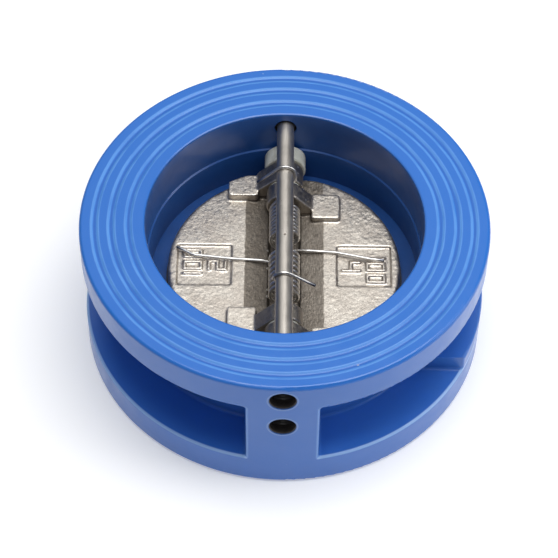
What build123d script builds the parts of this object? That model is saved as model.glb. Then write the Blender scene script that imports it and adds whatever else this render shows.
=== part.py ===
from build123d import *
from math import sin, cos, tan, pi, radians, degrees, sqrt, atan2, acos
import os

os.makedirs("parts", exist_ok=True)

# ---------------------------------------------------------------------------
# Dual-plate wafer check valve, nominal size 100.
# Millimetres. Z is the flow axis: the inlet face is z = 0 and the outlet face
# is z = face_to_face. The hinge pin and the stop pin lie along Y.
# ---------------------------------------------------------------------------

# body
body_r = 81.0                 # half of the 162 mm wafer body
face_to_face = 64.0
inlet_flange_top = 15.2
outlet_flange_bottom = 49.6
barrel_r = 62.0
edge_round = 1.5
outlet_r = 55.0
chamber_r = 54.4
chamber_step_z = 43.5
seat_z = 27.0                 # seating plane
inlet_r = 44.0
pillar_w = 28.2               # front and rear bosses that carry the pins
window_fillet = 1.4
pad_y = 36.5                  # thickened part of the inlet flange on the +X side
pad_x0 = 40.0
pad_top = 22.9
bridge_w_top = 10.4
bridge_w_bottom = 6.0
bridge_z0 = 4.0

# sealing grooves, in both faces
groove_centres = (61.5, 68.3, 74.8)
groove_w = 2.5
groove_depth = 0.5

# seat
seat_ring_outer = 47.9
seat_ring_inner = 43.4
seat_ring_z0 = 23.8
seat_bar_w = 11.0

# pins
hinge_z = 38.7
stop_z = 55.7
pin_r = 3.5
pin_bore_r = 3.56
pin_half_len = 64.4
shoulder_y = 65.0
plug_hole_r = 5.0
thread_pitch = 1.25
thread_depth = 0.45
seal_t = 1.4
plug_len = 5.2
plug_r = 4.93
stop_recess_r = 4.6
stop_recess_y = 58.0

# plates
plate_r = 47.1
plate_bottom = 27.06
plate_back = 34.5
plate_gap = 0.45              # each straight edge stands this far from x = 0
slope_outer_x = 16.0
slope_inner_x = 6.5
slope_inner_z = 32.5
lip_z = 30.85
pocket_x0, pocket_x1 = 21.2, 43.3
pocket_half_y = 10.2
pocket_depth = 0.9
lug_r = 7.5
outer_lug = (35.95, 45.9)    # along Y, outer knuckle
inner_lug = (27.0, 34.65)
outer_pad_y = (33.6, 44.25)
inner_pad_y = (22.8, 35.4)
pad_x_in = 11.0
pad_x_out = 23.2
inner_pad_x_out = 22.5
outer_pad_z = 38.2
inner_pad_z = 37.0
open_angle = 79.0

# bearings and washers on the hinge pin
bearing_r = 8.5
bearing_y = (46.1, 53.5)
washer_r = 6.6
washer_y = (34.8, 35.8)

# springs
wire_r = 0.65
coil_r = 5.75


# ---------------------------------------------------------------------------
# valve body: two flange bands joined by a barrel and two bosses
# ---------------------------------------------------------------------------
def groove_points(z, into):
    """Profile points of the three grooves, outer radius first."""
    pts = []
    for c in sorted(groove_centres, reverse=True):
        h = groove_w / 2
        d = groove_depth
        pts += [
            (c + h + 0.40, z),
            (c + h + 0.10, z + into * d * 0.12),
            (c + h - 0.35, z + into * d * 0.62),
            (c + h - 0.65, z + into * d * 0.90),
            (c + h - 0.95, z + into * d),
            (c - h + 0.95, z + into * d),
            (c - h + 0.65, z + into * d * 0.90),
            (c - h + 0.35, z + into * d * 0.62),
            (c - h - 0.10, z + into * d * 0.12),
            (c - h - 0.40, z),
        ]
    return pts


with BuildPart() as body:
    with BuildSketch(Plane.XZ):
        with BuildLine():
            er = edge_round
            top = face_to_face
            ThreePointArc(
                (body_r, top - er),
                (body_r - er * (1 - cos(pi / 4)), top - er * (1 - sin(pi / 4))),
                (body_r - er, top),
            )
            Polyline(
                [(body_r - er, top)]
                + groove_points(top, -1)
                + [
                    (outlet_r + 0.8, top),
                    (outlet_r + 0.23, top - 0.23),
                    (outlet_r, top - 0.8),
                    (outlet_r, chamber_step_z),
                    (chamber_r, chamber_step_z - 0.5),
                    (chamber_r, seat_z),
                    (seat_ring_outer, seat_z),
                    (seat_ring_outer, seat_ring_z0),
                    (inlet_r, seat_ring_z0),
                    (inlet_r, 1.5),
                    (inlet_r + 1.5, 0),
                ]
                + groove_points(0, 1)[::-1]
                + [(body_r - er, 0)]
            )
            ThreePointArc(
                (body_r - er, 0),
                (body_r - er * (1 - sin(pi / 4)), er * (1 - cos(pi / 4))),
                (body_r, er),
            )
            Line((body_r, er), (body_r, top - er))
        make_face()
    revolve(axis=Axis.Z)

# the space between the flange bands, in two halves, with rounded inner corners
with BuildPart() as windows:
    with BuildSketch(Plane.XY.offset(inlet_flange_top)):
        Circle(95)
        Circle(barrel_r, mode=Mode.SUBTRACT)
        Rectangle(pillar_w, 220, mode=Mode.SUBTRACT)
    extrude(amount=outlet_flange_bottom - inlet_flange_top)
    with BuildSketch(Plane.XY.offset(inlet_flange_top)):
        with Locations((pad_x0 + 40, 0)):
            Rectangle(80, 2 * pad_y)
    extrude(amount=pad_top - inlet_flange_top, mode=Mode.SUBTRACT)
    inner = [
        e
        for e in windows.edges()
        if (e.center().X ** 2 + e.center().Y ** 2) ** 0.5 < 90
        and not (
            abs(abs(e.center().Y) - pad_y) < 0.3 and abs(e.center().Z - pad_top) < 0.01
        )
    ]
    fillet(inner, window_fillet)

with BuildPart() as bridge:
    with BuildSketch(Plane.XZ):
        with BuildLine():
            Polyline(
                (-bridge_w_top / 2, seat_ring_z0),
                (-bridge_w_top / 2, seat_ring_z0 - 6),
                (-bridge_w_bottom / 2, bridge_z0 + 2.0),
                (-bridge_w_bottom / 2 + 1.6, bridge_z0),
                (bridge_w_bottom / 2 - 1.6, bridge_z0),
                (bridge_w_bottom / 2, bridge_z0 + 2.0),
                (bridge_w_top / 2, seat_ring_z0 - 6),
                (bridge_w_top / 2, seat_ring_z0),
                close=True,
            )
        make_face()
    extrude(amount=inlet_r + 1.0, both=True)


def pin_hole_profile(z, inner_mouth_r):
    """Half section of one pin hole on the +Y side, as (radius, y) points."""
    pts = [(0, 48.0)]
    if inner_mouth_r > pin_bore_r:
        pts += [
            (inner_mouth_r, 48.0),
            (inner_mouth_r, stop_recess_y),
            (pin_bore_r, stop_recess_y + 0.6),
        ]
    else:
        pts += [(pin_bore_r, 48.0)]
    pts += [(pin_bore_r, shoulder_y), (plug_hole_r, shoulder_y)]
    y = shoulder_y + 7.0
    pts += [(plug_hole_r, y)]
    for i in range(4):
        pts += [
            (plug_hole_r + thread_depth, y + thread_pitch * 0.5),
            (plug_hole_r, y + thread_pitch * 0.95),
        ]
        y += thread_pitch
    pts += [
        (plug_hole_r, body_r - 0.75),
        (plug_hole_r + 0.35, body_r - 0.4),
        (plug_hole_r + 0.35, body_r + 4.0),
        (0, body_r + 4.0),
    ]
    return pts


with BuildPart() as pin_holes:
    for z, mouth in ((hinge_z, pin_bore_r), (stop_z, stop_recess_r)):
        with BuildSketch(Plane.XY.offset(z)):
            with BuildLine():
                Polyline(pin_hole_profile(z, mouth), close=True)
            make_face()
        revolve(axis=Axis((0, 0, z), (0, 1, 0)))
    mirror(about=Plane.XZ)

with BuildPart() as valve_body:
    add(body.part)
    add(windows.part, mode=Mode.SUBTRACT)
    rim = [
        e
        for e in valve_body.edges()
        if abs((e.center().X ** 2 + e.center().Y ** 2) ** 0.5 - body_r) < 14
        and inlet_flange_top - 0.1 < e.center().Z < outlet_flange_bottom + 0.1
        and all(
            abs((v.X**2 + v.Y**2) ** 0.5 - body_r) < 0.01 for v in e.vertices()
        )
        and all(
            abs(((e @ t).X ** 2 + (e @ t).Y ** 2) ** 0.5 - body_r) < 0.01
            for t in (0.25, 0.5, 0.75)
        )
    ]
    fillet(rim, 1.1)
    add(bridge.part)
    add(pin_holes.part, mode=Mode.SUBTRACT)

valve_body.part.label = "valve_body"
export_step(valve_body.part, "parts/valve_body.step")

# ---------------------------------------------------------------------------
# rubber seat: a ring in the body's step with a bar across the bridge
# ---------------------------------------------------------------------------
with BuildPart() as seat_ring:
    with BuildSketch(Plane.XY.offset(seat_ring_z0)):
        Circle(seat_ring_outer)
        Circle(seat_ring_inner, mode=Mode.SUBTRACT)
        Rectangle(seat_bar_w, 2 * seat_ring_inner + 2)
    extrude(amount=seat_z - seat_ring_z0)

seat_ring.part.label = "seat_ring"
export_step(seat_ring.part, "parts/seat_ring.step")

# ---------------------------------------------------------------------------
# plates: half discs with two knuckles each, cut from a common casting shape
# ---------------------------------------------------------------------------
DIGITS = {
    # seven-bar block digits: which bars are raised
    "1": "bc",
    "0": "abcdef",
    "2": "abged",
    "4": "fgbc",
}


def digit_bars(d, w, h, t):
    """Centre and size of each bar of a block digit, in its own plane."""
    bars = {
        "a": (0, h / 2 - t / 2, w, t),
        "g": (0, 0, w, t),
        "d": (0, -h / 2 + t / 2, w, t),
        "f": (-w / 2 + t / 2, h / 4, t, h / 2),
        "b": (w / 2 - t / 2, h / 4, t, h / 2),
        "e": (-w / 2 + t / 2, -h / 4, t, h / 2),
        "c": (w / 2 - t / 2, -h / 4, t, h / 2),
    }
    return [bars[k] for k in DIGITS[d]]


with BuildPart() as plate_blank:
    # section across the plate, from the straight edge to the rim
    with BuildSketch(Plane.XZ):
        with BuildLine():
            Polyline(
                (-plate_gap, plate_bottom),
                (-plate_gap, lip_z),
                (-slope_inner_x + 0.5, lip_z),
                (-slope_inner_x, slope_inner_z),
                (-slope_outer_x, plate_back),
                (-60, plate_back),
                (-60, plate_bottom),
                close=True,
            )
        make_face()
    extrude(amount=60, both=True)
    with BuildSketch(Plane.XY.offset(plate_bottom)):
        Circle(plate_r)
    extrude(amount=30, mode=Mode.INTERSECT)
    # rounded back rim and chamfered face rim
    back_rim = (
        plate_blank.edges()
        .filter_by(GeomType.CIRCLE)
        .filter_by(lambda e: abs(e.center().Z - plate_back) < 0.01 and e.length > 60)
    )
    fillet(back_rim, 1.6)
    # recessed maker's panel, with raised block figures
    with BuildSketch(Plane.XY.offset(plate_back)):
        with Locations((-(pocket_x0 + pocket_x1) / 2, 0)):
            RectangleRounded(pocket_x1 - pocket_x0, 2 * pocket_half_y, 0.8)
    extrude(amount=-pocket_depth, mode=Mode.SUBTRACT)


def knuckle_part(y0, y1, pad_y0, pad_y1, pad_z, pad_x1):
    """One knuckle on the -X side: a ring on the hinge axis, its web and its
    stop pad on the back of the plate."""
    with BuildPart() as knuckle:
        with BuildSketch(Plane.XZ.offset(-y0)):
            with Locations((0, hinge_z)):
                Circle(lug_r)
            with BuildLine():
                Polyline(
                    (-5.2, hinge_z + 5.4),
                    (-pad_x_in - 0.6, pad_z),
                    (-pad_x_in - 0.6, plate_bottom + 2),
                    (-1.0, plate_bottom + 4.2),
                    (-1.0, hinge_z + 1.0),
                    close=True,
                )
            make_face()
        extrude(amount=-(y1 - y0))
        with BuildSketch(Plane.XY.offset(plate_back - 2.5)):
            with Locations((-(pad_x_in + pad_x1) / 2, (pad_y0 + pad_y1) / 2)):
                RectangleRounded(pad_x1 - pad_x_in, pad_y1 - pad_y0, 1.2)
        extrude(amount=pad_z - plate_back + 2.5)
        # everything stays inside the plate's own outline
        with BuildSketch(Plane.XY.offset(plate_bottom)):
            Circle(plate_r - 0.3)
        extrude(amount=40, mode=Mode.INTERSECT)
    return knuckle.part


outer_knuckle = knuckle_part(
    outer_lug[0], outer_lug[1], outer_pad_y[0], outer_pad_y[1], outer_pad_z, pad_x_out
)
inner_knuckle = knuckle_part(
    inner_lug[0], inner_lug[1], inner_pad_y[0], inner_pad_y[1], inner_pad_z, inner_pad_x_out
)

with BuildPart() as inner_knuckle_near:
    # the inner knuckle sits at the other end of the straight edge
    add(inner_knuckle)
    mirror(about=Plane.XZ)
    with BuildSketch(Plane.XY.offset(0)):
        with Locations((0, 60)):
            Rectangle(200, 120)
    extrude(amount=80, mode=Mode.SUBTRACT)


def make_plate(figures):
    with BuildPart() as plate:
        add(plate_blank.part)
        add(outer_knuckle)
        add(inner_knuckle_near.part)
        # hinge bore through both knuckles
        with BuildSketch(Plane.XZ.offset(-60)):
            with Locations((0, hinge_z)):
                Circle(pin_bore_r)
        extrude(amount=120, mode=Mode.SUBTRACT)
        # relief round the body bearings, at both ends of the straight edge
        for ya in (outer_lug[1] + 0.05, -outer_lug[1] - 6.05):
            with BuildSketch(Plane.XZ.offset(-ya)):
                with Locations((0, hinge_z)):
                    Circle(bearing_r + 0.45)
            extrude(amount=-6.0, mode=Mode.SUBTRACT)
        # clearance for the other plate's knuckles at the straight edge
        for yy in (
            (-outer_lug[1] - 0.6, -outer_lug[0] + 0.4),
            (inner_lug[0] - 0.4, inner_lug[1] + 0.4),
        ):
            with BuildSketch(Plane.XZ.offset(-yy[0])):
                with Locations((0, hinge_z)):
                    Circle(lug_r + 0.45)
            extrude(amount=-(yy[1] - yy[0]), mode=Mode.SUBTRACT)
        # raised figures on the floor of the panel
        with BuildSketch(Plane.XY.offset(plate_back - pocket_depth)):
            for text, cx, w, h in figures:
                n = len(text)
                for i, ch in enumerate(text):
                    cy = (i - (n - 1) / 2) * (w + 1.5)
                    for bx, by, bw, bh in digit_bars(ch, w, h, 0.95):
                        with Locations((cx - by, cy + bx)):
                            Rectangle(bh, bw)
        extrude(amount=pocket_depth - 0.15)
    return plate.part


left_plate_shape = make_plate([("100", -37.0, 4.4, 7.6), ("2", -27.0, 5.2, 7.6)])
right_plate_shape = make_plate([("100", -37.0, 4.4, 7.6), ("4", -27.0, 5.2, 7.6)])

with BuildPart() as left_plate:
    add(left_plate_shape)
left_plate.part.label = "left_plate"
export_step(left_plate.part, "parts/left_plate.step")

with BuildPart() as right_plate:
    add(right_plate_shape, rotation=(0, 0, 180))
right_plate.part.label = "right_plate"
export_step(right_plate.part, "parts/right_plate.step")

# ---------------------------------------------------------------------------
# pins
# ---------------------------------------------------------------------------
for name, z in (("hinge_pin", hinge_z), ("stop_pin", stop_z)):
    with BuildPart() as pin:
        with BuildSketch(Plane.XZ):
            with Locations((0, z)):
                Circle(pin_r)
        extrude(amount=pin_half_len, both=True)
        chamfer(pin.edges().filter_by(GeomType.CIRCLE), 0.7)
    pin.part.label = name
    export_step(pin.part, f"parts/{name}.step")

# ---------------------------------------------------------------------------
# body bearings at the ends of the hinge, and thin washers between knuckles
# ---------------------------------------------------------------------------
for name, sign in (("rear_body_bearing", 1), ("front_body_bearing", -1)):
    y0, y1 = bearing_y
    with BuildPart() as bearing:
        with BuildSketch(Plane.XZ.offset(-y0)):
            with Locations((0, hinge_z)):
                Circle(bearing_r)
                Circle(pin_r + 0.05, mode=Mode.SUBTRACT)
        extrude(amount=-(y1 - y0))
        chamfer(
            bearing.edges()
            .filter_by(GeomType.CIRCLE)
            .filter_by(lambda e: e.radius > bearing_r - 0.1),
            0.5,
        )
    if sign < 0:
        with BuildPart() as bearing_m:
            add(bearing.part, rotation=(0, 0, 180))
        shape = bearing_m.part
    else:
        shape = bearing.part
    shape.label = name
    export_step(shape, f"parts/{name}.step")

for name, sign in (("rear_plate_washer", 1), ("front_plate_washer", -1)):
    y0, y1 = washer_y
    a = y0 if sign > 0 else -y1
    with BuildPart() as washer:
        with BuildSketch(Plane.XZ.offset(-a)):
            with Locations((0, hinge_z)):
                Circle(washer_r)
                Circle(pin_r + 0.05, mode=Mode.SUBTRACT)
        extrude(amount=-(y1 - y0))
    washer.part.label = name
    export_step(washer.part, f"parts/{name}.step")

# ---------------------------------------------------------------------------
# pin-hole plugs: headless screws with a hexagon socket, each on a sealing disc
# ---------------------------------------------------------------------------
for end, sign in (("front", -1), ("rear", 1)):
    for pin_name, z in (("hinge", hinge_z), ("stop", stop_z)):
        y0 = shoulder_y + seal_t
        y1 = y0 + plug_len
        with BuildPart() as plug:
            with BuildSketch(Plane.XY.offset(z)):
                with BuildLine():
                    pts = [(0, y0), (plug_r - 0.6, y0), (plug_r, y0 + 0.6)]
                    y = y0 + 0.6
                    while y + thread_pitch < y1 - 0.5:
                        pts += [
                            (plug_r - thread_depth, y + thread_pitch / 2),
                            (plug_r, y + thread_pitch),
                        ]
                        y += thread_pitch
                    pts += [(plug_r, y1 - 0.5), (plug_r - 0.5, y1), (0, y1)]
                    Polyline(pts, close=True)
                make_face()
            revolve(axis=Axis((0, 0, z), (0, 1, 0)))
            with BuildSketch(Plane.XZ.offset(-y1)):
                with Locations((0, z)):
                    RegularPolygon(2.5, 6, major_radius=False)
            extrude(amount=3.6, mode=Mode.SUBTRACT)
        with BuildPart() as seal:
            with BuildSketch(Plane.XZ.offset(-shoulder_y - 0.02)):
                with Locations((0, z)):
                    Circle(plug_hole_r - 0.08)
            extrude(amount=-(seal_t - 0.04))
        for piece, name in ((plug, "plug"), (seal, "plug_seal")):
            if sign < 0:
                with BuildPart() as turned:
                    add(piece.part, rotation=(0, 0, 180))
                shape = turned.part
            else:
                shape = piece.part
            node = f"{end}_{pin_name}_{name}"
            shape.label = node
            export_step(shape, f"parts/{node}.step")

# ---------------------------------------------------------------------------
# torsion springs: a coil round the hinge pin, a long leg that lies on one
# plate, and a hook that passes under the stop pin, round it and over it.
# Both are drawn with the leg towards +X; the front one is turned end for end.
# ---------------------------------------------------------------------------
hook_r = pin_r + wire_r + 0.12
# crossing tangent between the coil and the hook
cross = acos((coil_r + hook_r) / (stop_z - hinge_z))
leg_angle = radians(-75)
hook_angle = pi / 2 + cross
coil_turns = 8 + (leg_angle - hook_angle + 2 * pi) / (2 * pi)


def stop_corner(angle, sweep_angle):
    """Corner of the tangents to the hook circle, in X and Z."""
    r = hook_r / cos(sweep_angle / 2)
    return r * cos(angle), stop_z + r * sin(angle)


def spring_part(y_leg, y_hook, leg_pts, hook_y, tail):
    height = y_hook - y_leg
    coil_plane = Plane(
        origin=(0, y_leg, hinge_z),
        x_dir=(cos(leg_angle), 0, sin(leg_angle)),
        z_dir=(0, 1, 0),
    )
    coil_path = coil_plane.location * Helix(
        pitch=height / coil_turns, height=height, radius=coil_r
    )
    a, da = coil_path @ 1, coil_path % 1
    s, ds = coil_path @ 0, coil_path % 0
    # the hook turns from the crossing tangent to the tail's own tangent
    start_turn = -(pi / 2 - cross)
    d = sqrt(tail[0] ** 2 + (tail[2] - stop_z) ** 2)
    end_turn = atan2(tail[2] - stop_z, tail[0]) + 2 * pi - acos(hook_r / d)
    half = (end_turn - start_turn) / 2
    c1 = stop_corner(start_turn + half / 2, half)
    c2 = stop_corner(start_turn + 1.5 * half, half)
    p1 = a + da * 6.2
    with BuildPart() as spring:
        with BuildSketch(Plane(origin=s, z_dir=ds)):
            Circle(wire_r)
        sweep(path=coil_path, is_frenet=True)
        with BuildLine():
            leg_path = FilletPolyline(
                [tuple(s), tuple(s - ds * 8.0)] + leg_pts,
                radius=[5.0] * len(leg_pts),
            )
        with BuildSketch(Plane(origin=leg_path @ 0, z_dir=leg_path % 0)):
            Circle(wire_r)
        sweep(path=leg_path)
        with BuildLine():
            hook_path = FilletPolyline(
                [
                    tuple(a),
                    tuple(p1),
                    (c1[0], hook_y - 0.2, c1[1]),
                    (c2[0], hook_y + 0.1, c2[1]),
                    tail,
                ],
                radius=[5.0, hook_r, hook_r],
            )
        with BuildSketch(Plane(origin=hook_path @ 0, z_dir=hook_path % 0)):
            Circle(wire_r)
        sweep(path=hook_path)
    return spring.part


rear_spring = spring_part(
    8.6,
    25.2,
    [(21.0, 6.2, 35.28), (35.2, 3.0, 35.28), (40.4, 2.4, 35.28)],
    30.4,
    (-11.1, 30.2, 50.3),
)
rear_spring.label = "rear_spring"
export_step(rear_spring, "parts/rear_spring.step")

front_spring_shape = spring_part(
    -1.6,
    19.4,
    [(21.2, -2.4, 35.28), (36.6, -4.2, 35.28), (43.6, -8.3, 35.28)],
    23.3,
    (-12.1, 23.3, 51.8),
)
with BuildPart() as front_spring:
    add(front_spring_shape, rotation=(0, 0, 180))
front_spring.part.label = "front_spring"
export_step(front_spring.part, "parts/front_spring.step")
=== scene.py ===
import math

import bmesh
import bpy
import numpy as np
from mathutils import Matrix, Vector


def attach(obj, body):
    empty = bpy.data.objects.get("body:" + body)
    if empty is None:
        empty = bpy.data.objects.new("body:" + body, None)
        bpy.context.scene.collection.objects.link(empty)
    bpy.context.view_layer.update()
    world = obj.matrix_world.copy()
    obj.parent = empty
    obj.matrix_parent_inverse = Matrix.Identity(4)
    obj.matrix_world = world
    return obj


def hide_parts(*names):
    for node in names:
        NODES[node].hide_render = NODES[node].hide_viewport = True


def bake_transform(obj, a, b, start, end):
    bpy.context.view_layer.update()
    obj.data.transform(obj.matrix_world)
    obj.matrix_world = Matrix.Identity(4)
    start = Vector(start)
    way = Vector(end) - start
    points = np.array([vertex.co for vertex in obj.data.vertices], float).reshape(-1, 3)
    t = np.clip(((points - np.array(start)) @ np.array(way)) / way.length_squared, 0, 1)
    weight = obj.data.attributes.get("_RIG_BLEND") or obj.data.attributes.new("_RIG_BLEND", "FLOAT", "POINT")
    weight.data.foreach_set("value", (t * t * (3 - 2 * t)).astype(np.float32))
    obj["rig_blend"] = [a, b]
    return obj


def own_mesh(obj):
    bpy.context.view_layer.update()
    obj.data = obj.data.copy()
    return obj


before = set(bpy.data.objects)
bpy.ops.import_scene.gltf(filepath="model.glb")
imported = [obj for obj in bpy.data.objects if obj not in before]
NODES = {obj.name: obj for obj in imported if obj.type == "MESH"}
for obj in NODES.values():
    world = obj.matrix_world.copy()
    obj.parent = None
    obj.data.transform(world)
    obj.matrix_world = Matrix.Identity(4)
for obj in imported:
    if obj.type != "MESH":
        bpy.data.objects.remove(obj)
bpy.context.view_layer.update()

scene = bpy.context.scene

# valve dimensions the looks depend on, metres
HINGE_Z = 0.0387
STOP_Z = 0.0557
TOP_Z = 0.064


# ---------------------------------------------------------------------------
# node helpers
# ---------------------------------------------------------------------------
class Mat:
    """One procedural material: a Principled shader and the nodes that feed it."""

    def __init__(self, name):
        self.mat = bpy.data.materials.new(name)
        self.mat.use_nodes = True
        self.tree = self.mat.node_tree
        self.shader = self.tree.nodes["Principled BSDF"]
        self.coords = self.tree.nodes.new("ShaderNodeTexCoord").outputs["Object"]

    def set(self, **values):
        for key, value in values.items():
            self.shader.inputs[key.replace("_", " ")].default_value = value

    def link(self, a, b):
        self.tree.links.new(a, b)

    def put(self, value, socket):
        if isinstance(value, bpy.types.NodeSocket):
            self.link(value, socket)
        else:
            socket.default_value = value

    def math(self, op, a, b=0.0, clamp=False):
        n = self.tree.nodes.new("ShaderNodeMath")
        n.operation = op
        n.use_clamp = clamp
        self.put(a, n.inputs[0])
        self.put(b, n.inputs[1])
        return n.outputs[0]

    def vec(self, op, a, b=(0, 0, 0)):
        n = self.tree.nodes.new("ShaderNodeVectorMath")
        n.operation = op
        self.put(a, n.inputs[0])
        self.put(b, n.inputs[1])
        return n.outputs["Value"] if op in ("LENGTH", "DISTANCE", "DOT_PRODUCT") else n.outputs[0]

    def xyz(self, v=None):
        n = self.tree.nodes.new("ShaderNodeSeparateXYZ")
        self.link(v or self.coords, n.inputs[0])
        return n.outputs[0], n.outputs[1], n.outputs[2]

    def join(self, x, y, z):
        n = self.tree.nodes.new("ShaderNodeCombineXYZ")
        for i, v in enumerate((x, y, z)):
            self.put(v, n.inputs[i])
        return n.outputs[0]

    def noise(self, scale, detail=2.0, rough=0.5, at=None, distortion=0.0):
        n = self.tree.nodes.new("ShaderNodeTexNoise")
        self.link(at or self.coords, n.inputs["Vector"])
        n.inputs["Scale"].default_value = scale
        n.inputs["Detail"].default_value = detail
        n.inputs["Roughness"].default_value = rough
        n.inputs["Distortion"].default_value = distortion
        return n.outputs["Fac"]

    def cells(self, scale, at=None, feature="F1", randomness=1.0):
        n = self.tree.nodes.new("ShaderNodeTexVoronoi")
        n.feature = feature
        self.link(at or self.coords, n.inputs["Vector"])
        n.inputs["Scale"].default_value = scale
        n.inputs["Randomness"].default_value = randomness
        return n.outputs["Distance"]

    def span(self, value, a, b, to_a=0.0, to_b=1.0, smooth=True):
        """value mapped from a..b to to_a..to_b, clamped."""
        n = self.tree.nodes.new("ShaderNodeMapRange")
        n.interpolation_type = "SMOOTHSTEP" if smooth else "LINEAR"
        n.clamp = True
        self.put(value, n.inputs[0])
        for i, v in enumerate((a, b, to_a, to_b)):
            self.put(v, n.inputs[i + 1])
        return n.outputs[0]

    def mix(self, fac, a, b, blend="MIX"):
        n = self.tree.nodes.new("ShaderNodeMix")
        n.data_type = "RGBA"
        n.blend_type = blend
        self.put(fac, n.inputs[0])
        self.put(a if isinstance(a, bpy.types.NodeSocket) else (*a, 1.0), n.inputs[6])
        self.put(b if isinstance(b, bpy.types.NodeSocket) else (*b, 1.0), n.inputs[7])
        return n.outputs[2]

    def bump(self, height, distance, strength=1.0, normal=None):
        n = self.tree.nodes.new("ShaderNodeBump")
        n.inputs["Strength"].default_value = strength
        n.inputs["Distance"].default_value = distance
        self.put(height, n.inputs["Height"])
        if normal is not None:
            self.link(normal, n.inputs["Normal"])
        return n.outputs[0]

    def pointiness(self):
        n = self.tree.nodes.new("ShaderNodeNewGeometry")
        return n.outputs["Pointiness"]

    def attribute(self, name):
        n = self.tree.nodes.new("ShaderNodeAttribute")
        n.attribute_type = "GEOMETRY"
        n.attribute_name = name
        return n.outputs["Fac"]

    def colour(self, socket):
        self.link(socket, self.shader.inputs["Base Color"])

    def roughness(self, socket):
        self.link(socket, self.shader.inputs["Roughness"])

    def normal(self, socket):
        self.link(socket, self.shader.inputs["Normal"])
        return self


def wear(o, mat):
    """The object shows this material all over."""
    o.data.materials.clear()
    o.data.materials.append(mat)


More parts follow.
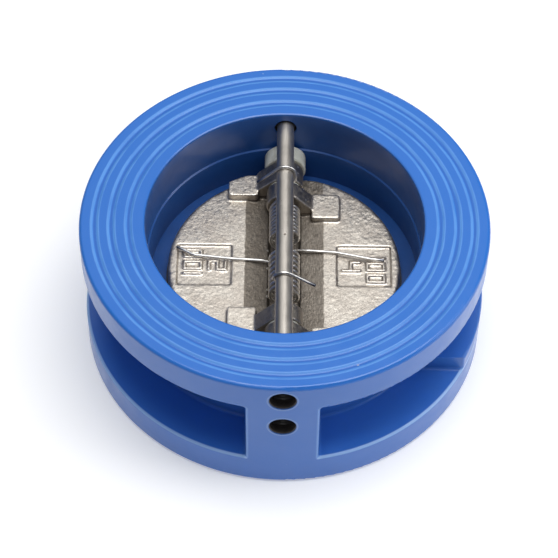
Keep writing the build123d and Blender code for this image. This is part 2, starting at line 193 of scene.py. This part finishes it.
# ---------------------------------------------------------------------------
# materials
# ---------------------------------------------------------------------------
def blue_epoxy():
    m = Mat("blue_epoxy")
    x, y, z = m.xyz()
    r = m.vec("LENGTH", m.join(x, y, 0.0))
    on_face = m.math(
        "MAXIMUM",
        m.span(z, TOP_Z - 0.0012, TOP_Z - 0.0006),
        m.span(z, 0.0012, 0.0006),
    )
    # painted highlight along both edges of each groove, and painted shade in its middle
    middle = None
    for c in (0.0748, 0.0683, 0.0615):
        d = m.math("ABSOLUTE", m.math("SUBTRACT", r, c))
        middle = d if middle is None else m.math("MINIMUM", middle, d)
    wander = m.math("MULTIPLY", m.math("SUBTRACT", m.noise(75, 2, 0.5), 0.5), 0.0006)
    from_edge = m.math("ABSOLUTE", m.math("SUBTRACT", m.math("ADD", middle, wander), 0.00122))
    groove_edge_highlight = m.span(from_edge, 0.00080, 0.00030)
    groove_edge_highlight = m.math("MULTIPLY", groove_edge_highlight, m.span(m.noise(60, 3, 0.6), 0.25, 0.65, 0.55, 1.0))
    groove_edge_highlight = m.math("MULTIPLY", groove_edge_highlight, on_face)
    groove_middle_shade = m.math("MULTIPLY", m.span(middle, 0.00050, 0.00022), on_face)
    tone = m.noise(38, 3, 0.55)
    base = m.mix(tone, (0.034, 0.150, 0.520), (0.042, 0.172, 0.575))
    # painted shade: the end faces get a deeper blue than the sides, standing in for the sheen that greys the sides
    base = m.mix(m.math("MULTIPLY", on_face, 0.75), base, (0.016, 0.148, 0.545))
    base = m.mix(m.math("MULTIPLY", groove_edge_highlight, 0.46), base, (0.18, 0.44, 0.86))
    base = m.mix(m.math("MULTIPLY", groove_middle_shade, 0.40), base, (0.016, 0.085, 0.36))
    # painted highlight also along the corners of the flange bands, the windows and the pin holes
    ax = m.math("ABSOLUTE", x)
    band = m.math("MINIMUM", m.math("ABSOLUTE", m.math("SUBTRACT", z, 0.0152)),
                  m.math("ABSOLUTE", m.math("SUBTRACT", z, 0.0496)))
    band = m.math("MULTIPLY", m.span(band, 0.00115, 0.00035), m.span(ax, 0.0132, 0.0140))
    upright = m.math("MULTIPLY", m.span(m.math("ABSOLUTE", m.math("SUBTRACT", ax, 0.0138)), 0.0010, 0.0003),
                     m.math("MULTIPLY", m.span(z, 0.0148, 0.0156), m.span(z, 0.0500, 0.0492)))
    corner_highlight = m.math("MULTIPLY", m.math("MAXIMUM", band, upright), m.span(r, 0.0797, 0.0803))
    corner_highlight = m.math("MULTIPLY", corner_highlight, m.span(m.noise(45, 3, 0.6), 0.25, 0.60, 0.60, 1.0))
    base = m.mix(m.math("MULTIPLY", corner_highlight, 0.42), base, (0.24, 0.45, 0.84))
    # the strongest painted highlight is on the upper corner of the inlet band, which lies in shade under the outlet
    # band
    inlet_corner_highlight = m.math("MULTIPLY", m.span(m.math("ABSOLUTE", m.math("SUBTRACT", z, 0.0150)), 0.00075, 0.00025),
                    m.math("MULTIPLY", m.span(ax, 0.0132, 0.0140), m.span(r, 0.0797, 0.0803)))
    base = m.mix(m.math("MULTIPLY", inlet_corner_highlight, 0.62), base, (0.42, 0.64, 0.96))
    # a few knocks on the face and the rims
    d = m.vec("DISTANCE", m.coords, (0.0279, -0.0693, TOP_Z))
    knock = m.span(m.math("ADD", d, m.math("MULTIPLY", m.noise(900, 2, 0.5), 0.0006)), 0.00105, 0.00075)
    base = m.mix(m.math("MULTIPLY", knock, 0.75), base, (0.36, 0.40, 0.50))
    nick = m.span(m.cells(140, randomness=1.0), 0.050, 0.034)
    nick = m.math("MULTIPLY", nick, m.span(m.noise(40, 1, 0.5), 0.62, 0.66))
    nick = m.math("MULTIPLY", nick, m.span(r, 0.0555, 0.0570))
    base = m.mix(m.math("MULTIPLY", nick, 0.55), base, (0.30, 0.42, 0.66))
    # painted shade darkens the chamber, more so lower down
    inside = m.span(m.math("ADD", r, m.math("MULTIPLY", m.noise(300, 2, 0.5), 0.0002)), 0.0558, 0.0552)
    chamber_shade = m.math("ADD", m.span(z, 0.0640, 0.0560, 0.48, 0.76), m.span(z, 0.0440, 0.0275, 0.0, 0.14))
    chamber_shade = m.math("MULTIPLY", chamber_shade, m.span(m.noise(55, 3, 0.6), 0.25, 0.75, 0.88, 1.0))
    inside = m.math("MULTIPLY", inside, m.span(z, 0.0008, 0.0030))
    base = m.mix(m.math("MULTIPLY", inside, chamber_shade), base, (0.006, 0.040, 0.165))
    # the pin holes are bare machined iron, painted near-black to stand in for the shade deep inside them
    axis = m.math("MINIMUM",
                  m.vec("LENGTH", m.join(x, m.math("SUBTRACT", z, HINGE_Z), 0.0)),
                  m.vec("LENGTH", m.join(x, m.math("SUBTRACT", z, STOP_Z), 0.0)))
    ay = m.math("ABSOLUTE", y)
    bare = m.math("MULTIPLY", m.span(axis, 0.00555, 0.00550), m.span(ay, 0.0808, 0.0804))
    bare = m.math("MULTIPLY", bare, m.span(ay, 0.0555, 0.0560))
    shaded_iron = m.mix(m.noise(420, 3, 0.6), (0.020, 0.017, 0.016), (0.070, 0.060, 0.055))
    # painted highlight round the mouth of each pin hole
    hole_mouth_highlight = m.math("MULTIPLY", m.span(m.math("ABSOLUTE", m.math("SUBTRACT", axis, 0.00575)), 0.00050, 0.00012),
                 m.span(ay, 0.0780, 0.0790))
    base = m.mix(m.math("MULTIPLY", hole_mouth_highlight, 0.45), base, (0.26, 0.40, 0.66))
    base = m.mix(bare, base, shaded_iron)
    m.colour(base)
    rough = m.span(m.noise(120, 3, 0.6), 0.3, 0.7, 0.28, 0.38)
    rough = m.math("ADD", rough, m.math("MULTIPLY", m.math("MAXIMUM", groove_edge_highlight, groove_middle_shade), 0.36))
    m.roughness(m.math("ADD", rough, m.math("MULTIPLY", bare, 0.25)))
    peel = m.noise(520, 2, 0.45)
    cast = m.noise(65, 2, 0.5)
    n = m.bump(cast, 0.00030, 0.55)
    n = m.bump(peel, 0.00003, 0.55, n)
    n = m.bump(m.math("MAXIMUM", nick, knock), -0.00005, 0.8, n)
    m.normal(n)
    m.set(Coat_Weight=0.25, Coat_Roughness=0.20, IOR=1.5, Specular_IOR_Level=0.42)
    return m.mat


def cast_stainless():
    m = Mat("cast_stainless")
    x, y, z = m.xyz()
    ax = m.math("ABSOLUTE", x)
    tone = m.noise(120, 4, 0.6)
    grain = m.noise(1500, 3, 0.62)
    pits = m.cells(900, randomness=1.0)
    base = m.mix(m.span(tone, 0.3, 0.7), (0.63, 0.570, 0.500), (0.75, 0.695, 0.615))
    base = m.mix(m.span(grain, 0.60, 0.36, 0.0, 0.40), base, (0.30, 0.255, 0.215))
    # ground flats beside the hinge are streaked along the pins and darker, partly their own finish and partly
    # painted shade; the left flat is painted darker still, as shade on the side away from the lights
    streak = m.noise(1.0, 4, 0.65, m.vec("MULTIPLY", m.coords, (2600.0, 420.0, 1200.0)))
    edge = m.math("ADD", ax, m.math("MULTIPLY", m.math("SUBTRACT", m.noise(420, 2, 0.5), 0.5), 0.0010))
    flats = m.math("MULTIPLY", m.span(edge, 0.01625, 0.01575), m.span(z, 0.0350, 0.0347))
    dark = m.mix(m.span(streak, 0.35, 0.66), (0.110, 0.092, 0.073), (0.32, 0.280, 0.236))
    left_flat_shade = m.mix(m.span(streak, 0.35, 0.66), (0.055, 0.042, 0.031), (0.165, 0.138, 0.108))
    dark = m.mix(m.span(x, 0.003, -0.003), dark, left_flat_shade)
    base = m.mix(m.math("MULTIPLY", flats, 0.80), base, dark)
    # the knuckles and their webs are painted darker, as shade
    web = m.math("MULTIPLY", m.span(edge, 0.0114, 0.0108), m.span(z, 0.0335, 0.0345))
    web_shade = m.mix(m.noise(330, 3, 0.6), (0.105, 0.088, 0.074), (0.22, 0.190, 0.160))
    base = m.mix(m.math("MULTIPLY", web, 0.50), base, web_shade)
    # lighter on the ridges, partly wear and partly painted highlight; darker in the hollows
    p = m.pointiness()
    base = m.mix(m.span(p, 0.515, 0.560), base, (0.84, 0.80, 0.74))
    base = m.mix(m.span(p, 0.486, 0.440, 0.0, 0.70), base, (0.090, 0.072, 0.060))
    m.colour(base)
    rough = m.span(m.noise(600, 3, 0.6), 0.3, 0.7, 0.34, 0.52)
    rough = m.math("ADD", rough, m.math("MULTIPLY", flats, 0.08))
    m.roughness(rough)
    n = m.bump(m.noise(700, 3, 0.6), 0.00010, 0.8)
    n = m.bump(grain, 0.00009, 0.80, n)
    n = m.bump(pits, 0.00006, 0.50, n)
    m.normal(n)
    m.set(Metallic=1.0)
    return m.mat


def bar_stock(name, light, dark, rough_lo, rough_hi, axis_scale, pit=None):
    """Drawn and ground bar: fine lines run along it."""
    m = Mat(name)
    lines = m.noise(1.0, 3, 0.6, m.vec("MULTIPLY", m.coords, axis_scale))
    smear = m.noise(95, 3, 0.6)
    base = m.mix(m.span(lines, 0.3, 0.7), dark, light)
    base = m.mix(m.span(smear, 0.52, 0.72, 0.0, 0.30), base, tuple(c * 0.55 for c in dark))
    dots = m.span(m.cells(420, randomness=1.0), 0.085, 0.05)
    dots = m.math("MULTIPLY", dots, m.span(m.noise(60, 1, 0.5), 0.60, 0.64))
    if pit is not None:
        d = m.vec("DISTANCE", m.coords, pit)
        dots = m.math("MAXIMUM", dots, m.span(d, 0.00062, 0.00040))
    base = m.mix(m.math("MULTIPLY", dots, 0.75), base, (0.10, 0.07, 0.055))
    m.colour(base)
    m.roughness(m.span(m.noise(210, 3, 0.6), 0.3, 0.7, rough_lo, rough_hi))
    n = m.bump(lines, 0.00001, 0.45)
    n = m.bump(dots, -0.00005, 0.8, n)
    m.normal(n)
    m.set(Metallic=1.0)
    return m.mat


def spring_wire():
    m = Mat("spring_wire")
    along = m.attribute("along")
    a = m.noise(1400, 3, 0.6)
    base = m.mix(m.span(a, 0.3, 0.7), (0.70, 0.68, 0.645), (0.80, 0.78, 0.745))
    # darker and bluer over the last 4 mm towards each end of the wire
    end = m.span(along, 0.0042, 0.0008)
    base = m.mix(m.math("MULTIPLY", end, 0.85), base, (0.10, 0.11, 0.15))
    base = m.mix(m.span(m.noise(150, 3, 0.6), 0.58, 0.78, 0.0, 0.25), base, (0.28, 0.23, 0.18))
    m.colour(base)
    m.roughness(m.span(m.noise(330, 3, 0.6), 0.3, 0.7, 0.30, 0.38))
    m.normal(m.bump(a, 0.000004, 0.3))
    m.set(Metallic=1.0)
    return m.mat


def ptfe():
    m = Mat("white_ptfe")
    x, y, z = m.xyz()
    rings = m.noise(1.0, 2, 0.5, m.join(m.math("MULTIPLY", y, 2600.0), 0.0, 0.0))
    mottled = m.noise(190, 4, 0.6)
    base = m.mix(m.span(mottled, 0.35, 0.7), (0.46, 0.470, 0.415), (0.60, 0.605, 0.545))
    base = m.mix(m.span(m.noise(70, 3, 0.65), 0.56, 0.74, 0.0, 0.45), base, (0.27, 0.25, 0.21))
    m.colour(base)
    m.roughness(m.span(m.noise(400, 2, 0.5), 0.3, 0.7, 0.38, 0.52))
    n = m.bump(rings, 0.00002, 0.7)
    n = m.bump(m.noise(900, 3, 0.5), 0.00002, 0.5, n)
    m.normal(n)
    m.set(Subsurface_Weight=0.12, Subsurface_Scale=0.002)
    m.shader.inputs["Subsurface Radius"].default_value = (1.0, 0.9, 0.8)
    return m.mat


def rubber():
    m = Mat("black_rubber")
    bloom = m.noise(90, 4, 0.65)
    base = m.mix(m.span(bloom, 0.35, 0.75), (0.012, 0.012, 0.013), (0.040, 0.040, 0.043))
    m.colour(base)
    m.roughness(m.span(m.noise(260, 3, 0.6), 0.3, 0.7, 0.46, 0.66))
    n = m.bump(m.noise(1900, 2, 0.5), 0.00002, 0.6)
    m.normal(n)
    return m.mat


def dark_steel():
    m = Mat("dark_steel")
    a = m.noise(700, 4, 0.62)
    base = m.mix(m.span(a, 0.3, 0.72), (0.075, 0.080, 0.088), (0.20, 0.21, 0.22))
    p = m.noise(120, 3, 0.6)
    base = m.mix(m.span(p, 0.58, 0.72, 0.0, 0.5), base, (0.11, 0.07, 0.045))
    m.colour(base)
    m.roughness(m.span(m.noise(480, 3, 0.6), 0.3, 0.7, 0.34, 0.55))
    m.normal(m.bump(a, 0.00002, 0.6))
    m.set(Metallic=1.0)
    return m.mat


EPOXY = blue_epoxy()
CAST = cast_stainless()
PIN = bar_stock("stainless_bar", (0.70, 0.655, 0.60), (0.55, 0.51, 0.46), 0.38, 0.46, (5200.0, 160.0, 5200.0))
STOP_PIN = bar_stock(
    "stainless_bar_stop", (0.70, 0.65, 0.585), (0.57, 0.525, 0.47), 0.37, 0.44, (5200.0, 160.0, 5200.0),
    pit=(0.0001, -0.0036, STOP_Z + 0.0034),
)
WIRE = spring_wire()
PTFE = ptfe()
RUBBER = rubber()
DARK = dark_steel()

for name, o in NODES.items():
    if name == "valve_body":
        mat, slot = EPOXY, "blue_epoxy"
    elif name.endswith("_seal") or name == "seat_ring":
        mat, slot = RUBBER, "black_rubber"
    elif name.endswith("_plug"):
        mat, slot = DARK, "dark_steel"
    elif name.endswith("_bearing") or name.endswith("_washer"):
        mat, slot = PTFE, "white_ptfe"
    elif name == "stop_pin":
        mat, slot = STOP_PIN, "stainless_bar"
    elif name == "hinge_pin":
        mat, slot = PIN, "stainless_bar"
    elif name.endswith("_spring"):
        mat, slot = WIRE, "spring_wire"
    else:
        mat, slot = CAST, "cast_stainless"
    wear(o, mat)
    even_out = o.modifiers.new("even normals", "WEIGHTED_NORMAL")
    even_out.mode = "FACE_AREA_WITH_ANGLE"
    even_out.keep_sharp = True


# ---------------------------------------------------------------------------
# mesh helpers
# ---------------------------------------------------------------------------
def lattice(ix, iy, iz, seed):
    """A repeatable value in -1..1 for each whole-number place."""
    h = (
        ix.astype(np.int64) * 374761393
        + iy.astype(np.int64) * 668265263
        + iz.astype(np.int64) * 2147483647
        + seed * 974634777
    ) & 0x7FFFFFFF
    h = ((h ^ (h >> 13)) * 1274126177) & 0x7FFFFFFF
    h = h ^ (h >> 16)
    return (h & 0xFFFFFF).astype(float) / float(0x7FFFFF) - 1.0


def field(p, cell, seed):
    """Smooth noise in about -1..1 at each point, with features about one cell wide."""
    q = p / cell
    i = np.floor(q).astype(np.int64)
    f = q - i
    f = f * f * f * (f * (f * 6 - 15) + 10)
    total = np.zeros(len(p))
    for dx in (0, 1):
        for dy in (0, 1):
            for dz in (0, 1):
                w = (
                    (f[:, 0] if dx else 1 - f[:, 0])
                    * (f[:, 1] if dy else 1 - f[:, 1])
                    * (f[:, 2] if dz else 1 - f[:, 2])
                )
                total += w * lattice(i[:, 0] + dx, i[:, 1] + dy, i[:, 2] + dz, seed)
    return total


def coords_of(mesh):
    co = np.empty(len(mesh.vertices) * 3)
    mesh.vertices.foreach_get("co", co)
    return co.reshape(-1, 3)


def normals_of(mesh):
    no = np.empty(len(mesh.vertices) * 3)
    mesh.vertices.foreach_get("normal", no)
    return no.reshape(-1, 3)


def relax(mesh, rounds, amount=0.5, pull=0.0):
    """Rounds the mesh's corners by moving each point towards its neighbours."""
    co = coords_of(mesh)
    e = np.empty(len(mesh.edges) * 2, np.int64)
    mesh.edges.foreach_get("vertices", e)
    e = e.reshape(-1, 2)
    n = len(co)
    count = np.bincount(e.ravel(), minlength=n).clip(1)[:, None]
    for _ in range(rounds):
        for step in (amount, -pull) if pull else (amount,):
            total = np.zeros_like(co)
            for k in range(3):
                total[:, k] = np.bincount(e[:, 0], co[e[:, 1], k], n) + np.bincount(
                    e[:, 1], co[e[:, 0], k], n
                )
            co = co + step * (total / count - co)
    mesh.vertices.foreach_set("co", co.ravel())
    mesh.update()


def cast_copy(node, name, voxel):
    """A casting made from a CAD node's own shape: even fine mesh, rounded corners."""
    mesh = NODES[node].data.copy()
    mesh.name = name
    bm = bmesh.new()
    bm.from_mesh(mesh)
    bmesh.ops.remove_doubles(bm, verts=bm.verts, dist=1e-6)
    bm.to_mesh(mesh)
    bm.free()
    o = bpy.data.objects.new(name, mesh)
    scene.collection.objects.link(o)
    mod = o.modifiers.new("remesh", "REMESH")
    mod.mode = "VOXEL"
    mod.voxel_size = voxel
    mod.adaptivity = 0.0
    dg = bpy.context.evaluated_depsgraph_get()
    made = bpy.data.meshes.new_from_object(o.evaluated_get(dg))
    o.modifiers.clear()
    o.data = made
    made.name = name
    for a in list(made.attributes):
        if a.name == "custom_normal":
            made.attributes.remove(a)
    made.shade_smooth()
    return o


def tube(name, pts, radius, sides=18, along=None):
    """A round wire along the points, with slightly domed cut ends."""
    pts = np.asarray(pts, float)
    t = np.gradient(pts, axis=0)
    t /= np.linalg.norm(t, axis=1)[:, None]
    side = np.cross(t[0], [0.0, 1.0, 0.0])
    if np.linalg.norm(side) < 0.1:
        side = np.cross(t[0], [1.0, 0.0, 0.0])
    side /= np.linalg.norm(side)
    frames = []
    for i in range(len(pts)):
        side = side - t[i] * (side @ t[i])
        side /= np.linalg.norm(side)
        frames.append((side.copy(), np.cross(t[i], side)))
    rings = [(pts[0] - t[0] * 0.0, 0.86, 0), *[(None, 1.0, i) for i in range(len(pts))], (None, 0.86, len(pts) - 1)]
    verts, values = [], []
    s = np.concatenate([[0], np.cumsum(np.linalg.norm(np.diff(pts, axis=0), axis=1))])
    from_end = np.minimum(s, s[-1] - s) if along is None else along
    for k, (_, share, i) in enumerate(rings):
        c = pts[i].copy()
        if k == 0:
            c = c - t[i] * radius * 0.14
        elif k == len(rings) - 1:
            c = c + t[i] * radius * 0.14
        u, v = frames[i]
        for j in range(sides):
            a = 2 * math.pi * j / sides
            verts.append(c + radius * share * (math.cos(a) * u + math.sin(a) * v))
            values.append(from_end[i])
    faces = []
    for k in range(len(rings) - 1):
        for j in range(sides):
            a, b = k * sides + j, k * sides + (j + 1) % sides
            faces.append((a, b, b + sides, a + sides))
    faces.append(tuple(range(sides))[::-1])
    last = (len(rings) - 1) * sides
    faces.append(tuple(last + j for j in range(sides)))
    mesh = bpy.data.meshes.new(name)
    mesh.from_pydata([tuple(v) for v in verts], [], faces)
    bm = bmesh.new()
    bm.from_mesh(mesh)
    bmesh.ops.recalc_face_normals(bm, faces=bm.faces)
    bm.to_mesh(mesh)
    bm.free()
    mesh.shade_smooth()
    att = mesh.attributes.new("along", "FLOAT", "POINT")
    att.data.foreach_set("value", np.array(values, np.float32))
    o = bpy.data.objects.new(name, mesh)
    scene.collection.objects.link(o)
    return o


def filleted(points, radii, step=0.25):
    """Straight runs joined by tangent arcs, as closely spaced points, millimetres."""
    P = [np.array(p, float) for p in points]
    out = [P[0]]

    def run_to(q):
        a = out[-1]
        n = max(1, int(np.linalg.norm(q - a) / (step * 2)))
        for k in range(1, n + 1):
            out.append(a + (q - a) * k / n)

    for i in range(1, len(P) - 1):
        u = P[i - 1] - P[i]
        v = P[i + 1] - P[i]
        u /= np.linalg.norm(u)
        v /= np.linalg.norm(v)
        inside = math.acos(float(np.clip(u @ v, -1, 1)))
        r = radii[i - 1]
        t = r / math.tan(inside / 2)
        mid = (u + v) / np.linalg.norm(u + v)
        centre = P[i] + mid * (r / math.sin(inside / 2))
        run_to(P[i] + u * t)
        a = P[i] + u * t - centre
        b = P[i] + v * t - centre
        turn = math.pi - inside
        n = max(3, int(r * turn / step))
        for k in range(1, n + 1):
            f = k / n
            out.append(centre + (a * math.sin((1 - f) * turn) + b * math.sin(f * turn)) / math.sin(turn))
    run_to(P[-1])
    return np.array(out)


# ---------------------------------------------------------------------------
# plates: castings, with rounded corners and a hammered skin
# ---------------------------------------------------------------------------
VOXEL = 0.00035


def plate_piece(node, name, body):
    o = cast_copy(node, name, VOXEL)
    relax(o.data, 3, 0.5)
    co, no = coords_of(o.data), normals_of(o.data)
    r = np.hypot(co[:, 0], co[:, 1])
    height = (
        0.030e-3 * field(co, 0.0015, 3)
        + 0.045e-3 * field(co, 0.0009, 5)
        + 0.02e-3 * field(co, 0.006, 7)
    )
    # nothing grows towards the seat or the hinge bore
    from_axis = np.hypot(co[:, 0], co[:, 2] - HINGE_Z)
    free = np.clip((co[:, 2] - 0.0282) / 0.0012, 0, 1)
    free *= np.clip((from_axis - 0.0039) / 0.0006, 0, 1)
    rough = 0.75 + 0.5 * np.clip(field(co, 0.02, 11), -1, 1)
    co = co + no * (height * free * rough)[:, None]
    o.data.vertices.foreach_set("co", co.ravel())
    o.data.update()
    wear(o, CAST)
    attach(o, body)
    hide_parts(node)
    return o


plate_piece("left_plate", "left_plate_casting", "left_plate")
plate_piece("right_plate", "right_plate_casting", "right_plate")


# ---------------------------------------------------------------------------
# springs: wound wire, one leg on a plate, a hook round the stop pin
# ---------------------------------------------------------------------------
COIL_R, WIRE_R, PIN_R = 5.75, 0.65, 3.5
HOOK_R = PIN_R + WIRE_R + 0.12
HZ, SZ = HINGE_Z * 1000, STOP_Z * 1000
CROSS = math.acos((COIL_R + HOOK_R) / (SZ - HZ))
LEG_ANGLE = math.radians(-75)
HOOK_ANGLE = math.pi / 2 + CROSS
TURNS = 8 + (LEG_ANGLE - HOOK_ANGLE + 2 * math.pi) / (2 * math.pi)


def spring_path(y_leg, y_hook, leg_pts, hook_y, tail, pitch=None):
    """Points along one spring from the end of its leg to the end of its hook."""
    height = y_hook - y_leg
    t = np.linspace(0, 1, int(TURNS * 48))
    if pitch:
        # close even turns from the hook end, and a last part turn that opens to the leg
        y_even = y_hook - pitch * TURNS * (1 - t)
        open_share = 0.42 / TURNS
        short = (y_hook - pitch * TURNS) - y_leg
        k = np.clip((open_share - t) / open_share, 0, 1)
        y = y_even - short * k**1.5
    else:
        y = y_leg + height * t
    phi = LEG_ANGLE - 2 * math.pi * TURNS * t
    coil = np.stack([COIL_R * np.cos(phi), y, HZ + COIL_R * np.sin(phi)], 1)
    a, da = coil[-1], coil[-1] - coil[-2]
    s, ds = coil[0], coil[1] - coil[0]
    da /= np.linalg.norm(da)
    ds /= np.linalg.norm(ds)
    start_turn = -(math.pi / 2 - CROSS)
    d = math.hypot(tail[0], tail[2] - SZ)
    end_turn = math.atan2(tail[2] - SZ, tail[0]) + 2 * math.pi - math.acos(HOOK_R / d)
    half = (end_turn - start_turn) / 2

    def corner_highlight(angle):
        r = HOOK_R / math.cos(half / 2)
        return r * math.cos(angle), SZ + r * math.sin(angle)

    c1, c2 = corner_highlight(start_turn + half / 2), corner_highlight(start_turn + 1.5 * half)
    leg = filleted([s, s - ds * 8.0] + leg_pts, [5.0] * len(leg_pts))
    hook = filleted(
        [a, a + da * 6.2, (c1[0], hook_y - 0.2, c1[1]), (c2[0], hook_y + 0.1, c2[1]), tail],
        [5.0, HOOK_R, HOOK_R],
    )
    path = np.concatenate([leg[::-1][:-1], coil, hook[1:]])
    return path


def even(path, step):
    s = np.concatenate([[0], np.cumsum(np.linalg.norm(np.diff(path, axis=0), axis=1))])
    n = int(s[-1] / step)
    at = np.linspace(0, s[-1], n)
    return np.stack([np.interp(at, s, path[:, k]) for k in range(3)], 1)


def spring_piece(node, name, path, plate, start, end, turned):
    """The wound wire, and its free hook end as a piece of its own: the other plate
    presses that end flat against the stop pin when it swings up."""
    path = even(path, 0.36)
    s = np.concatenate([[0], np.cumsum(np.linalg.norm(np.diff(path, axis=0), axis=1))])
    from_end = np.minimum(s, s[-1] - s) / 1000.0
    cut = len(path) - 1
    while path[cut, 0] < -3.2:
        cut -= 1
    if turned:
        path = path * np.array([-1.0, -1.0, 1.0])
    path = path / 1000.0
    wire = tube(name, path[: cut + 2], WIRE_R / 1000.0, along=from_end[: cut + 2])
    hook_end = tube(name.replace("_wire", "_hook_end"), path[cut:], WIRE_R / 1000.0, along=from_end[cut:])
    for o in (wire, hook_end):
        wear(o, WIRE)
        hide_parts(node)
    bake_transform(wire, "root", plate, start=start, end=end)
    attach(hook_end, "root")
    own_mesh(hook_end)


rear = spring_path(8.6, 25.2, [(21.0, 6.2, 35.28), (35.2, 3.0, 35.28), (40.4, 2.4, 35.28)], 30.4, (-11.1, 30.2, 50.3), pitch=1.86)
front = spring_path(-1.6, 19.4, [(21.2, -2.4, 35.28), (36.6, -4.2, 35.28), (43.6, -8.3, 35.28)], 23.3, (-12.1, 23.3, 51.8))
spring_piece(
    "rear_spring", "rear_spring_wire", rear, "right_plate",
    (0, 0.0252, HINGE_Z), (0, 0.0086, HINGE_Z), False,
)
spring_piece(
    "front_spring", "front_spring_wire", front, "left_plate",
    (0, -0.0194, HINGE_Z), (0, 0.0016, HINGE_Z), True,
)


# ---------------------------------------------------------------------------
# floor, light, camera
# ---------------------------------------------------------------------------
def floor_piece():
    mesh = bpy.data.meshes.new("floor")
    s = 6.0
    mesh.from_pydata([(-s, -s, -0.0004), (s, -s, -0.0004), (s, s, -0.0004), (-s, s, -0.0004)], [], [(0, 1, 2, 3)])
    o = bpy.data.objects.new("floor", mesh)
    scene.collection.objects.link(o)
    m = Mat("pale_floor")
    m.colour(m.mix(m.noise(6, 2, 0.5), (0.80, 0.80, 0.80), (0.82, 0.82, 0.82)))
    m.set(Roughness=0.9, Specular_IOR_Level=0.0)
    m.shader.inputs["Emission Color"].default_value = (1.0, 1.0, 1.0, 1.0)
    m.shader.inputs["Emission Strength"].default_value = 0.30
    mesh.materials.append(m.mat)


floor_piece()


def soft_box(name, place, target, size, power, colour=(1, 1, 1)):
    light = bpy.data.lights.new(name, "AREA")
    light.shape = "RECTANGLE"
    light.size, light.size_y = size
    light.energy = power
    light.color = colour
    o = bpy.data.objects.new(name, light)
    scene.collection.objects.link(o)
    o.location = place
    o.rotation_mode = "QUATERNION"
    o.rotation_quaternion = (Vector(target) - Vector(place)).to_track_quat("-Z", "Y")
    return o


soft_box("top_box", (0.10, 0.02, 1.0), (0, 0, 0.03), (0.62, 0.80), 9.0)
soft_box("back_box", (-0.16, 0.68, 0.80), (0, 0, 0.04), (1.2, 0.50), 1.25)
soft_box("side_box", (0.95, -0.10, 0.55), (0, 0, 0.03), (0.5, 0.6), 3.2)
soft_box("front_box", (-0.1, -0.9, 1.15), (0, 0, 0.03), (0.7, 0.5), 1.2)

world = bpy.data.worlds.new("studio")
world.use_nodes = True
scene.world = world
wt = world.node_tree
wt.nodes.clear()
out = wt.nodes.new("ShaderNodeOutputWorld")
shown = wt.nodes.new("ShaderNodeBackground")
shown.inputs["Color"].default_value = (1.0, 1.0, 1.0, 1.0)
shown.inputs["Strength"].default_value = 0.95
glow = wt.nodes.new("ShaderNodeBackground")
glow.inputs["Color"].default_value = (0.80, 0.88, 1.0, 1.0)
glow.inputs["Strength"].default_value = 0.12
path_node = wt.nodes.new("ShaderNodeLightPath")
blend_node = wt.nodes.new("ShaderNodeMixShader")
wt.links.new(path_node.outputs["Is Camera Ray"], blend_node.inputs[0])
wt.links.new(glow.outputs[0], blend_node.inputs[1])
wt.links.new(shown.outputs[0], blend_node.inputs[2])
wt.links.new(blend_node.outputs[0], out.inputs["Surface"])

scene.view_settings.view_transform = "Standard"
scene.view_settings.look = "None"

TILT = math.radians(52.6138)
ROLL = math.radians(-0.68916)
sn, cs = math.sin(ROLL), math.cos(ROLL)
st, ct = math.sin(TILT), math.cos(TILT)
right = Vector((cs, -sn * st, -sn * ct))
up = Vector((sn, cs * st, cs * ct))
ahead = Vector((0, ct, -st))
cam_data = bpy.data.cameras.new("camera")
cam_data.sensor_width = 36.0
cam_data.lens = 136.13
cam_data.clip_start, cam_data.clip_end = 0.02, 50.0
cam = bpy.data.objects.new("camera", cam_data)
scene.collection.objects.link(cam)
cam.matrix_world = Matrix(
    (
        (right.x, up.x, -ahead.x, -0.0020009),
        (right.y, up.y, -ahead.y, -0.522504),
        (right.z, up.z, -ahead.z, 0.708971),
        (0, 0, 0, 1),
    )
)
scene.camera = cam

bpy.context.view_layer.update()
